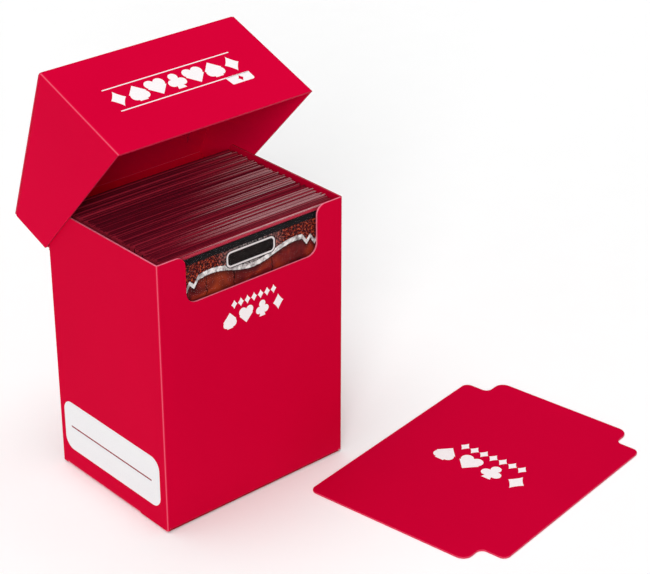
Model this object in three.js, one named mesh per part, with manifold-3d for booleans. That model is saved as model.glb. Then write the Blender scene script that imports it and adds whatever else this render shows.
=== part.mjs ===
// A flip-top card deck box, folded from one die-cut polypropylene sheet, with its loose card divider.
//
// Millimetres, +Z up. The origin is the centre of the box's underside. The front wall faces -Y, and +X is to
// the right of someone looking at it. The lid is drawn shut and then turned open about its crease, and the
// divider lies on the table in front of the box.

import * as THREE from "three";
import Module from "manifold-3d";
import { mergeVertices } from "three/addons/utils/BufferGeometryUtils.js";

// ---- Driving dimensions -------------------------------------------------------------------------------------

// The folded box
const boxWidth = 72;
const boxDepth = 56;
const boxHeight = 92.5;
const sheet = 0.6;

// The thumb notch in the front wall's top edge
const notchWidth = 51;
const notchDepth = 16.2;
const notchMouthRadius = 3.2;
const notchFloorRadius = 3.8;

// The lid
const lidHingeDrop = 15;
const lidHeadroom = 2;
const lidFrontHeight = 40.8;
const lidTabWidth = 7;
const lidTabEndMargin = 4;
const lidOpenAngle = THREE.MathUtils.degToRad(70);

// The bottom closure and the seam
const bottomFlapDepth = 13;
const dustFlapLength = 28;
const dustFlapTaper = 5;
const seamFlapWidth = 12;
const seamFlapEndMargin = 2;

// The write-on label on the left wall
const labelHeight = 17.7;
const labelRadius = 4;
const labelThickness = 0.12;
const labelAboveBase = 7.3;
const labelFromBack = 2.7;
const labelFromFront = 3.1;

// The sleeved cards: the sleeves fill the box but for this play, and are 66 x 90.4, and the cards are 63 x 88
const sleeveSidePlay = 2.4;
const sleeveBelowRim = 0.75;
const sleeveFilm = 0.12;
const sleeveWeld = 1;
const sleeveCollar = 1.4;
const sleeveSlack = 0.05;
const cardSideMargin = 1.5;
const cardThickness = 0.32;
const packCount = 8;

// The divider
const dividerHeight = 94;
const dividerWidth = 70;
const dividerThickness = 0.6;
const dividerNotchDepth = 8;
const dividerNotchWidth = 9.2;
const dividerPlainRadius = 2.4;
const dividerShoulderRadius = 2.4;
const dividerInnerRadius = 2.2;
const dividerTabRadius = 3.4;
const dividerPastSide = 28.5;
const dividerBeforeFront = 37.9;
const dividerTurn = THREE.MathUtils.degToRad(9.6);

// Clearances
const foldGap = 0.05;
const lidFoldGap = 0.3;
const lidClearance = 0.25;
const creaseRadius = 0.3;
const cardFrontPlay = 0.5;
const cardBackPlay = 0.2;
const cardBottomPlay = 0.1;
const packGap = 0.05;
const pocketPlay = 0.08;

// How finely arcs are cut
const arcSteps = 6;
const creaseSides = 12;

// ---- Sizes that follow from them ------------------------------------------------------------------------------

const halfWidth = boxWidth / 2;
const halfDepth = boxDepth / 2;
const wallInnerX = halfWidth - sheet;
const wallInnerY = halfDepth - sheet;
const hingeHeight = boxHeight - lidHingeDrop;
const creaseRelief = creaseRadius + lidFoldGap;
const bottomLayer2 = sheet + foldGap;
const cardFloor = bottomLayer2 + sheet + cardBottomPlay;
const labelLength = boxDepth - labelFromBack - labelFromFront;
const sleeveFront = -wallInnerY + cardFrontPlay;
const sleeveWidth = 2 * (wallInnerX - sleeveSidePlay);
const sleeveHeight = boxHeight - sleeveBelowRim - cardFloor;
const cardWidth = sleeveWidth - 2 * cardSideMargin;
const cardHeight = sleeveHeight - sleeveWeld - sleeveCollar;
const sleevedCardPitch = 2 * sleeveFilm + cardThickness + sleeveSlack + packGap;
const roomForCards = 2 * wallInnerY - sheet - foldGap - cardFrontPlay - cardBackPlay;
const cardsPerPack = Math.floor(roomForCards / (packCount * sleevedCardPitch));

// ---- Outlines ---------------------------------------------------------------------------------------------------

// A closed outline through corners [x, y, radius], each rounded by an arc that touches both of its sides.
function roundedOutline(corners) {
  const shape = new THREE.Shape();
  const last = corners.length - 1;
  corners.forEach(([x, y, radius], index) => {
    const corner = new THREE.Vector2(x, y);
    const [beforeX, beforeY] = corners[index === 0 ? last : index - 1];
    const [afterX, afterY] = corners[index === last ? 0 : index + 1];
    const toBefore = new THREE.Vector2(beforeX, beforeY).sub(corner).normalize();
    const toAfter = new THREE.Vector2(afterX, afterY).sub(corner).normalize();
    if (radius === 0) {
      if (index === 0) shape.moveTo(x, y);
      else shape.lineTo(x, y);
      return;
    }
    const halfAngle = Math.acos(toBefore.dot(toAfter)) / 2;
    const arcStart = corner.clone().addScaledVector(toBefore, radius / Math.tan(halfAngle));
    const arcEnd = corner.clone().addScaledVector(toAfter, radius / Math.tan(halfAngle));
    const toCentre = toBefore.clone().add(toAfter).normalize();
    const centre = corner.clone().addScaledVector(toCentre, radius / Math.sin(halfAngle));
    const startAngle = Math.atan2(arcStart.y - centre.y, arcStart.x - centre.x);
    const endAngle = Math.atan2(arcEnd.y - centre.y, arcEnd.x - centre.x);
    const clockwise = toBefore.cross(toAfter) > 0;
    if (index === 0) shape.moveTo(arcStart.x, arcStart.y);
    else shape.lineTo(arcStart.x, arcStart.y);
    shape.absarc(centre.x, centre.y, radius, startAngle, endAngle, clockwise);
  });
  shape.closePath();
  return shape;
}

function rectangle(lowX, lowY, highX, highY, radius = 0) {
  return roundedOutline([
    [lowX, lowY, radius],
    [highX, lowY, radius],
    [highX, highY, radius],
    [lowX, highY, radius],
  ]);
}

// ---- Flat sheets in the three planes ----------------------------------------------------------------------------

function extruded(outline, thickness) {
  return new THREE.ExtrudeGeometry(outline, {
    depth: thickness,
    bevelEnabled: false,
    curveSegments: arcSteps,
  });
}

// An outline drawn in X and Y, from height lowZ up.
function sheetAcrossZ(outline, lowZ, thickness = sheet) {
  return extruded(outline, thickness).translate(0, 0, lowZ);
}

// An outline drawn in X and Z, from depth lowY to the back.
function sheetAcrossY(outline, lowY, thickness = sheet) {
  const turn = new THREE.Matrix4().makeBasis(
    new THREE.Vector3(1, 0, 0),
    new THREE.Vector3(0, 0, 1),
    new THREE.Vector3(0, -1, 0),
  );
  return extruded(outline, thickness).applyMatrix4(turn).translate(0, lowY + thickness, 0);
}

// An outline drawn in Y and Z, from lowX to the right.
function sheetAcrossX(outline, lowX, thickness = sheet) {
  const turn = new THREE.Matrix4().makeBasis(
    new THREE.Vector3(0, 1, 0),
    new THREE.Vector3(0, 0, 1),
    new THREE.Vector3(1, 0, 0),
  );
  return extruded(outline, thickness).applyMatrix4(turn).translate(lowX, 0, 0);
}

// ---- Cutting one closed solid out of another --------------------------------------------------------------------

const manifold = await Module();
manifold.setup();

function solidFrom(geometry) {
  const plain = geometry.clone();
  plain.deleteAttribute("normal");
  plain.deleteAttribute("uv");
  const merged = mergeVertices(plain);
  const mesh = new manifold.Mesh({
    numProp: 3,
    vertProperties: merged.attributes.position.array,
    triVerts: new Uint32Array(merged.index.array),
  });
  return new manifold.Manifold(mesh);
}

function cutAway(body, tool) {
  const mesh = solidFrom(body).subtract(solidFrom(tool)).getMesh();
  const geometry = new THREE.BufferGeometry();
  geometry.setAttribute("position", new THREE.BufferAttribute(mesh.vertProperties, mesh.numProp));
  geometry.setIndex(new THREE.BufferAttribute(mesh.triVerts, 1));
  geometry.computeVertexNormals();
  return geometry;
}

// ---- Materials --------------------------------------------------------------------------------------------------

function redPolypropylene(name) {
  return new THREE.MeshStandardMaterial({ name, color: 0xcc0133, roughness: 0.45, metalness: 0 });
}

function whitePrint() {
  return new THREE.MeshStandardMaterial({ name: "write_on", color: 0xf2eff0, roughness: 0.7, metalness: 0 });
}

function sleevedCardEdges() {
  return new THREE.MeshStandardMaterial({ name: "card_sleeves", color: 0x69101d, roughness: 0.35, metalness: 0 });
}

function clearSleeveFilm() {
  return new THREE.MeshStandardMaterial({ name: "front_sleeve", color: 0xb01830, roughness: 0.2, metalness: 0 });
}

function printedCard() {
  return new THREE.MeshStandardMaterial({ name: "printed_card", color: 0x3a2420, roughness: 0.5, metalness: 0 });
}

// ---- The box ----------------------------------------------------------------------------------------------------

function part(name, geometry, material) {
  const mesh = new THREE.Mesh(geometry, material);
  mesh.name = name;
  return mesh;
}

function frontPanel() {
  const notchSide = notchWidth / 2;
  const notchFloor = boxHeight - notchDepth;
  const outline = roundedOutline([
    [-halfWidth, 0, 0],
    [halfWidth, 0, 0],
    [halfWidth, boxHeight, 0],
    [notchSide, boxHeight, notchMouthRadius],
    [notchSide, notchFloor, notchFloorRadius],
    [-notchSide, notchFloor, notchFloorRadius],
    [-notchSide, boxHeight, notchMouthRadius],
    [-halfWidth, boxHeight, 0],
  ]);
  return sheetAcrossY(outline, -halfDepth);
}

// The back wall ends at the lid's crease.
function backPanel() {
  return sheetAcrossY(rectangle(-halfWidth, 0, halfWidth, hingeHeight - creaseRelief), wallInnerY);
}

// A side wall runs to the full height. Above the crease its back edge is free, and stands clear of the shut lid.
function sidePanel(lowX) {
  const front = -wallInnerY + foldGap;
  const back = wallInnerY - foldGap;
  const freeBack = wallInnerY - lidClearance;
  const stepHeight = hingeHeight - creaseRelief;
  const outline = roundedOutline([
    [front, 0, 0],
    [back, 0, 0],
    [back, stepHeight, 0],
    [freeBack, stepHeight, 0],
    [freeBack, boxHeight, 0],
    [front, boxHeight, 0],
  ]);
  return sheetAcrossX(outline, lowX);
}

// The right wall's back edge turns in and is welded to the back wall.
function seamGlueFlap() {
  const right = wallInnerX - foldGap;
  const outline = rectangle(
    right - seamFlapWidth,
    cardFloor + seamFlapEndMargin,
    right,
    hingeHeight - creaseRelief - seamFlapEndMargin,
  );
  return sheetAcrossY(outline, wallInnerY - foldGap - sheet);
}

function bottomPanel() {
  const x = wallInnerX - foldGap;
  const y = wallInnerY - foldGap;
  return sheetAcrossZ(rectangle(-x, -y, x, y), 0);
}

// The front wall's bottom edge turns in over the bottom panel and is welded to it.
function bottomGlueFlap() {
  const x = wallInnerX - foldGap;
  const front = -wallInnerY + foldGap;
  return sheetAcrossZ(rectangle(-x, front, x, front + bottomFlapDepth), bottomLayer2);
}

// A dust flap turns in from a side wall, behind the glue flap. side is -1 for the left and 1 for the right.
function dustFlap(side) {
  const rootX = side * (wallInnerX - foldGap);
  const tipX = rootX - side * dustFlapLength;
  const front = -wallInnerY + bottomFlapDepth + 2 * foldGap;
  const back = wallInnerY - sheet - 2 * foldGap;
  const corners = [
    [tipX, front + dustFlapTaper, 0],
    [rootX, front, 0],
    [rootX, back, 0],
    [tipX, back - dustFlapTaper, 0],
  ];
  return sheetAcrossZ(roundedOutline(side > 0 ? corners : corners.reverse()), bottomLayer2);
}

function writeOnLabel() {
  const back = halfDepth - labelFromBack;
  const outline = rectangle(
    back - labelLength,
    labelAboveBase,
    back,
    labelAboveBase + labelHeight,
    labelRadius,
  );
  return sheetAcrossX(outline, -halfWidth - labelThickness, labelThickness);
}

// ---- The cards ----------------------------------------------------------------------------------------------------

// The front card's pouch: two films welded at the sides and the bottom, open at the top.
function frontCardSleeve() {
  const left = -sleeveWidth / 2;
  const weldSide = (sleeveWidth - cardWidth) / 2 - pocketPlay;
  const outer = sheetAcrossY(
    rectangle(left, cardFloor, -left, cardFloor + sleeveHeight),
    sleeveFront,
    sleevedCardPitch - packGap,
  );
  const pocket = sheetAcrossY(
    rectangle(left + weldSide, cardFloor + sleeveWeld - pocketPlay, -left - weldSide, boxHeight + sleeveHeight),
    sleeveFront + sleeveFilm,
    sleevedCardPitch - packGap - 2 * sleeveFilm,
  );
  return cutAway(outer, pocket);
}

function frontCard() {
  const base = cardFloor + sleeveWeld;
  return sheetAcrossY(
    rectangle(-cardWidth / 2, base, cardWidth / 2, base + cardHeight),
    sleeveFront + sleeveFilm + sleeveSlack / 2,
    cardThickness,
  );
}

// A pack is a run of sleeved cards. The first is one short, because the front card stands before it.
function cardPack(number) {
  const first = number === 1 ? 1 : (number - 1) * cardsPerPack;
  const count = number * cardsPerPack - first;
  return sheetAcrossY(
    rectangle(-sleeveWidth / 2, cardFloor, sleeveWidth / 2, cardFloor + sleeveHeight),
    sleeveFront + first * sleevedCardPitch,
    count * sleevedCardPitch - packGap,
  );
}

// ---- The lid, drawn shut about its crease: Y forward is negative, Z up ----------------------------------------------

const lidRise = lidHingeDrop + lidHeadroom + sheet;
const lidDepth = boxDepth + lidClearance + sheet;
const lidInnerX = halfWidth + lidClearance;
const lidWebX = lidInnerX - lidFoldGap;
const lidTopUnderside = lidRise - sheet;

// The crease is a thin rolled web that lets the lid turn on the back wall.
function hingeCrease() {
  return new THREE.CylinderGeometry(creaseRadius, creaseRadius, boxWidth, creaseSides).rotateZ(Math.PI / 2);
}

function lidBackPanel() {
  const outline = rectangle(-lidWebX, creaseRelief, lidWebX, lidTopUnderside - lidFoldGap);
  return sheetAcrossY(outline, -sheet);
}

function lidTopPanel() {
  return sheetAcrossZ(rectangle(-lidWebX, -lidDepth, lidWebX, 0), lidTopUnderside);
}

function lidFrontPanel() {
  const outline = rectangle(-lidWebX, lidRise - lidFrontHeight, lidWebX, lidTopUnderside - lidFoldGap);
  return sheetAcrossY(outline, -lidDepth);
}

// A side of the lid: its free edge slants from the crease down to the front panel's edge.
function lidSidePanel(lowX) {
  const outline = roundedOutline([
    [-lidDepth, lidRise - lidFrontHeight, 0],
    [0, creaseRelief, 0],
    [0, lidRise, 0],
    [-lidDepth, lidRise, 0],
  ]);
  return sheetAcrossX(outline, lowX);
}

// A side's top edge turns in under the top panel and is welded to it. side is -1 for the left, 1 for the right.
function lidGlueTab(side) {
  const outer = side * lidWebX;
  const inner = outer - side * lidTabWidth;
  const outline = rectangle(
    Math.min(inner, outer),
    -lidDepth + sheet + lidTabEndMargin,
    Math.max(inner, outer),
    -sheet - lidTabEndMargin,
  );
  return sheetAcrossZ(outline, lidTopUnderside - lidFoldGap - sheet);
}

// ---- The divider, drawn flat about its centre: its top edge is at +X ------------------------------------------------

// Three corners are stepped, so that a tab stands up wherever the divider is put, and the fourth is plain.
function dividerOutline() {
  const end = dividerHeight / 2;
  const side = dividerWidth / 2;
  const shoulder = end - dividerNotchDepth;
  const tabSide = side - dividerNotchWidth;
  return roundedOutline([
    [-shoulder, -side, dividerShoulderRadius],
    [shoulder, -side, dividerShoulderRadius],
    [shoulder, -tabSide, dividerInnerRadius],
    [end, -tabSide, dividerTabRadius],
    [end, tabSide, dividerTabRadius],
    [shoulder, tabSide, dividerInnerRadius],
    [shoulder, side, dividerShoulderRadius],
    [-end, side, dividerPlainRadius],
    [-end, -tabSide, dividerTabRadius],
    [-shoulder, -tabSide, dividerInnerRadius],
  ]);
}

// ---- The object ---------------------------------------------------------------------------------------------------

const box = new THREE.Group();
box.add(part("front_panel", frontPanel(), redPolypropylene("box_front")));
box.add(part("back_panel", backPanel(), redPolypropylene("box_back")));
box.add(part("left_side_panel", sidePanel(-halfWidth), redPolypropylene("box_side")));
box.add(part("right_side_panel", sidePanel(wallInnerX), redPolypropylene("box_side")));
box.add(part("seam_glue_flap", seamGlueFlap(), redPolypropylene("box_seam")));
box.add(part("bottom_panel", bottomPanel(), redPolypropylene("box_bottom")));
box.add(part("bottom_glue_flap", bottomGlueFlap(), redPolypropylene("box_bottom")));
box.add(part("dust_flap_left", dustFlap(-1), redPolypropylene("box_bottom")));
box.add(part("dust_flap_right", dustFlap(1), redPolypropylene("box_bottom")));
box.add(part("write_on_label", writeOnLabel(), whitePrint()));
box.add(part("front_card_sleeve", frontCardSleeve(), clearSleeveFilm()));
box.add(part("front_card", frontCard(), printedCard()));
for (let number = 1; number <= packCount; number += 1) {
  box.add(part(`card_pack_${number}`, cardPack(number), sleevedCardEdges()));
}

const lid = new THREE.Group();
lid.add(part("lid_hinge_crease", hingeCrease(), redPolypropylene("lid_crease")));
lid.add(part("lid_back_panel", lidBackPanel(), redPolypropylene("lid_back")));
lid.add(part("lid_top_panel", lidTopPanel(), redPolypropylene("lid_top")));
lid.add(part("lid_front_panel", lidFrontPanel(), redPolypropylene("lid_front")));
lid.add(part("lid_left_side", lidSidePanel(-lidInnerX - sheet), redPolypropylene("lid_side")));
lid.add(part("lid_right_side", lidSidePanel(lidInnerX), redPolypropylene("lid_side")));
lid.add(part("lid_left_glue_tab", lidGlueTab(-1), redPolypropylene("lid_tab")));
lid.add(part("lid_right_glue_tab", lidGlueTab(1), redPolypropylene("lid_tab")));
lid.position.set(0, halfDepth, hingeHeight);
lid.rotation.x = -lidOpenAngle;

const divider = new THREE.Group();
divider.add(
  part("card_divider", sheetAcrossZ(dividerOutline(), 0, dividerThickness), redPolypropylene("divider")),
);
divider.position.set(halfWidth + dividerPastSide, -halfDepth - dividerBeforeFront, 0);
divider.rotation.z = dividerTurn;

const deckBox = new THREE.Group();
deckBox.name = "card_deck_box";
deckBox.add(box, lid, divider);

export default deckBox;
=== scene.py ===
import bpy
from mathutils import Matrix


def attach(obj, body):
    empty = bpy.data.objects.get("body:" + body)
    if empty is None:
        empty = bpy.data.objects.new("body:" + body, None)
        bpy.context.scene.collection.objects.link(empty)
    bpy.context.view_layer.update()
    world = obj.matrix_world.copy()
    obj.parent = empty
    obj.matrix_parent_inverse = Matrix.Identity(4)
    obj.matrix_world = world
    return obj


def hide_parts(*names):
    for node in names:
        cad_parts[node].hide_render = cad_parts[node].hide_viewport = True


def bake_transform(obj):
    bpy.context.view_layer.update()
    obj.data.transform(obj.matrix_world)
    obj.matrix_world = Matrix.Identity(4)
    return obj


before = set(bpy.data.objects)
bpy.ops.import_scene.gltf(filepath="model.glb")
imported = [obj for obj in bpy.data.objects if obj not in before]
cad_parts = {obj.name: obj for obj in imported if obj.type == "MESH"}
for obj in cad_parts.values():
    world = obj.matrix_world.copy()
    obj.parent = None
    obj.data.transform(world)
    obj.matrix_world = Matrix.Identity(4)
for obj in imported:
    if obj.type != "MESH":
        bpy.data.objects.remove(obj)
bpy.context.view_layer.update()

import math

import bpy
import numpy as np
from mathutils import Vector

# ---- The folded box -----------------------------------------------------------------------------------
# The body is one die-cut sheet of red polypropylene, 0.6 mm thick: four walls in a ring, the right one
# turned in and welded to the back wall, and bottom flaps turned in and welded. The creases are pressed in
# before folding, so each fold is tight, and pale in the middle: partly where it stretched, and partly a
# painted highlight on its rounding. Sizes are in mm.

MM = 0.001
SHEET = 0.6
FOLD = 0.75  # a fold's outer radius
FOLD_REST = 0.4  # the flat kept beside a fold, where the next panel begins
PALE_REACH = 0.3  # how far from a fold's middle the sheet has gone pale
CLEAR = FOLD + FOLD_REST
HALF_WIDTH, HALF_DEPTH, RIM = 36.0, 28.0, 92.5
RIM_CORNER = 1.2
CREASE_LEVEL, CREASE_HALF = 77.5, 0.6
CREASE_TOP = CREASE_LEVEL - CREASE_HALF
FLAP_LEVEL = 0.65  # the outer face of the flaps that lie on the bottom panel
FLAP_ROOT = FLAP_LEVEL + CLEAR
OVERRUN = 0.15  # how far past a flap's free edge its last width is given
SIDE_FOOT = 0.6
SEAM_FOOT, SEAM_TOP, SEAM_FLAP_END, SEAM_TAPER = 1.6, 76.6, 23.35, 3.75
NOTCH_HALF, NOTCH_DEPTH, NOTCH_LIP, NOTCH_CORNER = 25.5, 16.2, 3.2, 3.8
BOTTOM_DEPTH, BOTTOM_HALF = 55.35, 35.3
BOTTOM_NARROWS = (2.6, 3.6)  # how far down the bottom panel steps in from the walls' width
FLAP_NARROWS = 3.0  # how far down the other flaps begin to taper
GLUE_FLAP_DEPTH, GLUE_FLAP_HALF = 13.6, 33.2
DUST_DEPTH = 28.6
DUST_FRONT, DUST_BACK = -13.9, 25.4
DUST_TIP_FRONT, DUST_TIP_BACK = -9.0, 21.0


def rounded(corners, steps=6):
    """Outline through corners (x, y, radius), each swapped for the arc that touches both its sides.

    On an arc a point is start + r (sin a * way in + (1 - cos a) * inward normal), for a from 0 to the turn.
    Also returns each point's distance along the line, measured as if the corners were sharp.
    """
    corners = np.array(corners, float)
    points, radius = corners[:, :2], corners[:, 2:]
    way_out = np.roll(points, -1, axis=0) - points
    length = np.linalg.norm(way_out, axis=1)
    way_out = way_out / length[:, None]
    way_in = np.roll(way_out, 1, axis=0)
    cross = way_in[:, 0] * way_out[:, 1] - way_in[:, 1] * way_out[:, 0]
    turn = np.arctan2(cross, (way_in * way_out).sum(1))[:, None]
    reach = radius * np.tan(abs(turn) / 2)
    normal = np.sign(turn) * np.stack([-way_in[:, 1], way_in[:, 0]], 1)
    share = np.linspace(0, 1, steps + 1)[None, :]
    angle = (share * abs(turn))[..., None]
    turned = np.sin(angle) * way_in[:, None] + (1 - np.cos(angle)) * normal[:, None]
    line = (points - reach * way_in)[:, None] + radius[..., None] * turned
    at_corner = np.concatenate([[0], np.cumsum(length[:-1])])[:, None]
    distance = at_corner + reach * (2 * share - 1)
    line, distance = line.reshape(-1, 2), distance.reshape(-1)
    keep = np.linalg.norm(line - np.roll(line, 1, axis=0), axis=1) > 1e-6
    return line[keep], distance[keep]


def folded_line(corners, fold=FOLD):
    """An open line folded at its inner corners, with one more point beside each fold where the flat begins.

    Returns the distances along it, its points, and the distances of its folds.
    """
    radii = [0] + [fold] * (len(corners) - 2) + [0]
    line, distance = rounded([(*corner, radius) for corner, radius in zip(corners, radii)])
    folds = np.cumsum([math.dist(a, b) for a, b in zip(corners, corners[1:])])[:-1]
    rests = np.concatenate([folds - fold - FOLD_REST, folds + fold + FOLD_REST])
    rests = rests[(rests > 0) & (rests < distance.max())]
    run = np.unique(np.round(np.concatenate([distance, rests]), 6))
    return run, np.stack([np.interp(run, distance, line[:, i]) for i in (0, 1)], 1), folds


def stretch_and_highlight(distance, folds):
    """How pale a fold is, partly stretched pale and partly a painted highlight: 1 on the middle of a fold,
    falling to 0 beside it.
    """
    from_fold = abs(np.asarray(distance)[..., None] - folds).min(-1)
    return np.clip(1 - from_fold / PALE_REACH, 0, 1)


def strip(points):
    """Quads over a grid of points, rows by columns, with the row step crossing the column step outwards."""
    rows, columns = points.shape[:2]
    index = np.arange(rows * columns).reshape(rows, columns)
    quads = np.stack([index[:-1, :-1], index[:-1, 1:], index[1:, 1:], index[1:, :-1]], -1)
    return points.reshape(-1, 4), quads.reshape(-1, 4).tolist()


def panel(points):
    """One flat face round its outline."""
    return points, [list(range(len(points)))]


def linear(code):
    """An sRGB hex colour turned to linear RGBA."""
    srgb = np.array([int(code[i : i + 2], 16) for i in (1, 3, 5)]) / 255
    rgb = np.where(srgb <= 0.04045, srgb / 12.92, ((srgb + 0.055) / 1.055) ** 2.4)
    return (*rgb.tolist(), 1.0)


def every(size):
    """The scale of a noise whose marks are that many millimetres across."""
    return 1 / (size * MM)


def add(tree, kind, inputs=None, stops=(), **settings):
    """Adds a node with its settings and, on a colour ramp, its stops.

    An input is a value, a socket to link from, or a node, which is linked from its first output in use.
    """
    made = tree.nodes.new("ShaderNode" + kind)
    for key, value in settings.items():
        setattr(made, key, value)
    for key, value in (inputs or {}).items():
        if isinstance(value, bpy.types.Node):
            value = next(output for output in value.outputs if output.enabled)
        if isinstance(value, bpy.types.NodeSocket):
            tree.links.new(value, made.inputs[key])
        else:
            made.inputs[key].default_value = value
    if stops:
        elements = made.color_ramp.elements
        elements[0].position, elements[1].position = stops[0][0], stops[-1][0]
        for position, _ in stops[1:-1]:
            elements.new(position)
        for element, (_, colour) in zip(elements, stops):
            element.color = linear(colour)
    return made


def blank_material(name):
    """A new material with an empty node tree, and the piece's own coordinates in it."""
    material = bpy.data.materials.new(name)
    material.use_nodes = True
    tree = material.node_tree
    tree.nodes.clear()
    return material, tree, add(tree, "TexCoord").outputs["Object"]


def polypropylene(name, deep, bright):
    """Calendered polypropylene sheet, pigmented right through, pressed satin and faintly wavy by rollers.

    The pigment drifts a little over some centimetres. The rollers' grain is too fine to show, so it is
    drawn at 0.4 mm. The sheet goes pale pink along a fold: partly where the crease has stretched it, and
    partly a painted highlight on the fold's rounding.
    """
    material, tree, place = blank_material(name)
    drift = add(tree, "TexNoise", {"Vector": place, "Scale": every(45.5), "Detail": 2.0})
    grain = add(tree, "TexNoise", {"Vector": place, "Scale": every(0.4), "Detail": 3.0})
    wave = add(tree, "TexNoise", {"Vector": place, "Scale": every(35.7), "Detail": 1.0})
    pigment = add(tree, "Mix", {"Factor": drift, 6: linear(deep), 7: linear(bright)}, data_type="RGBA")
    # pale pink along folds: partly stretch whitening, partly a painted highlight
    stretch_and_highlight_mask = add(tree, "Attribute", attribute_name="pale", attribute_type="GEOMETRY").outputs["Fac"]
    whitening_and_highlight = add(tree, "Math", {0: stretch_and_highlight_mask, 1: 0.42}, operation="MULTIPLY")
    colour = add(tree, "Mix", {"Factor": whitening_and_highlight, 6: pigment, 7: linear("#f08fa6")}, data_type="RGBA")
    satin = add(tree, "MapRange", {"Value": grain, "To Min": 0.40, "To Max": 0.50})
    waves = add(tree, "Bump", {"Height": wave, "Strength": 0.25, "Distance": 0.4 * MM})
    bump = add(tree, "Bump", {"Height": grain, "Normal": waves, "Strength": 0.25, "Distance": 0.02 * MM})
    look = {"Base Color": colour, "Roughness": satin, "Normal": bump}
    look.update({"IOR": 1.49, "Specular IOR Level": 0.006})
    add(tree, "OutputMaterial", {"Surface": add(tree, "BsdfPrincipled", look)})
    return material


def die_cut_edge(name, deep, pale, highlight_ends=None):
    """The cut through the same sheet, left matt by the steel rule in short drags of 1 mm. Its colours are
    painted light: paler than the sheet is a painted highlight, darker a painted shade line.

    kept is a distance along X past which the painted highlight stops and the edge has the colour of the
    sheet.
    """
    material, tree, place = blank_material(name)
    drag = add(tree, "TexNoise", {"Vector": place, "Scale": every(1.11), "Detail": 2.0})
    colour = add(tree, "Mix", {"Factor": drag, 6: linear(deep), 7: linear(pale)}, data_type="RGBA")
    # past this X the painted highlight gives way to the sheet's own red
    if highlight_ends is not None:
        x = add(tree, "SeparateXYZ", {"Vector": place}).outputs["X"]
        past_highlight = add(tree, "MapRange", {"Value": x, "From Min": highlight_ends * MM, "From Max": (highlight_ends + 0.4) * MM})
        colour = add(tree, "Mix", {"Factor": past_highlight, 6: colour, 7: linear("#b80a32")}, data_type="RGBA")
    bump = add(tree, "Bump", {"Height": drag, "Strength": 0.4, "Distance": 0.05 * MM})
    look = {"Base Color": colour, "Roughness": 0.6, "Normal": bump, "Specular IOR Level": 0.2}
    add(tree, "OutputMaterial", {"Surface": add(tree, "BsdfPrincipled", look)})
    return material


def piece(name, patches, materials, body, replaces=(), thickness=None, place=None):
    """One mesh from patches that share their edges, in millimetres. Points that meet are made one.

    A patch's points are (x, y, z, pale), and place moves them. thickness turns the face into a sheet, whose
    wall grows inwards. Its cut edges take the second material, and its inner side the third, if any.
    """
    offset = np.cumsum([0] + [len(points) for points, _ in patches])
    points = np.concatenate([points for points, _ in patches])
    faces = [[i + start for i in face] for (_, some), start in zip(patches, offset) for face in some]
    spots = np.round(points[:, :3], 4)
    _, first, same = np.unique(spots, axis=0, return_index=True, return_inverse=True)
    same = same.reshape(-1)
    points = points[first]
    if place is not None:
        points[:, :3] = place(points[:, :3])
    faces = [[same[i] for i in face] for face in faces]
    faces = [[i for i, j in zip(face, face[1:] + face[:1]) if i != j] for face in faces]
    mesh = bpy.data.meshes.new(name)
    mesh.from_pydata((points[:, :3] * MM).tolist(), [], faces)
    pale = mesh.attributes.new("pale", "FLOAT", "POINT")
    pale.data.foreach_set("value", points[:, 3].astype(np.float32))
    mesh.shade_smooth()
    for material in materials:
        mesh.materials.append(material)
    made = bpy.data.objects.new(name, mesh)
    bpy.context.scene.collection.objects.link(made)
    if thickness:
        wall_thickness = made.modifiers.new("sheet_thickness", "SOLIDIFY")
        wall_thickness.thickness = thickness * MM
        wall_thickness.offset = -1
        wall_thickness.use_even_offset = True
        wall_thickness.material_offset_rim = 1
        wall_thickness.material_offset = 2 if len(materials) > 2 else 0
    edge = made.modifiers.new("softened_edges", "BEVEL")
    edge.width = min(0.05, (thickness or 0.2) / 4) * MM
    edge.segments = 1
    edge.limit_method = "ANGLE"
    edge.angle_limit = math.radians(40)
    edge.harden_normals = True
    if body:
        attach(made, body)
    if replaces:
        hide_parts(*replaces)
    return made


def on_walls(ring, run, height):
    """A point of a ring of walls: run goes round the outside of its plan, height straight up."""
    whole, plan, folds = ring
    run, height = np.broadcast_arrays(np.asarray(run, float), height)
    x, y = (np.interp(run, whole, plan[:, i]) for i in (0, 1))
    return np.stack([x, y, height, stretch_and_highlight(run, folds)], -1)


def wall(ring, corners):
    """A wall inside its outline of (run, height), with a radius where a corner is round."""
    outline, _ = rounded([(*corner, 0)[:3] for corner in corners])
    return panel(on_walls(ring, outline[:, 0], outline[:, 1]))


def upright_fold(ring, centre, low, high):
    """The strip that turns a corner, from its low to its high end.

    An end is a height at the first flat, one round the fold and one at the last flat, or follows the run.
    """
    run = ring[0][abs(ring[0] - centre) < CLEAR + 1e-4]
    counts = (1, len(run) - 2, 1)
    ends = [end(run) if callable(end) else np.repeat(end, counts) for end in (low, high)]
    return strip(on_walls(ring, run, np.stack(ends)))


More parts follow.
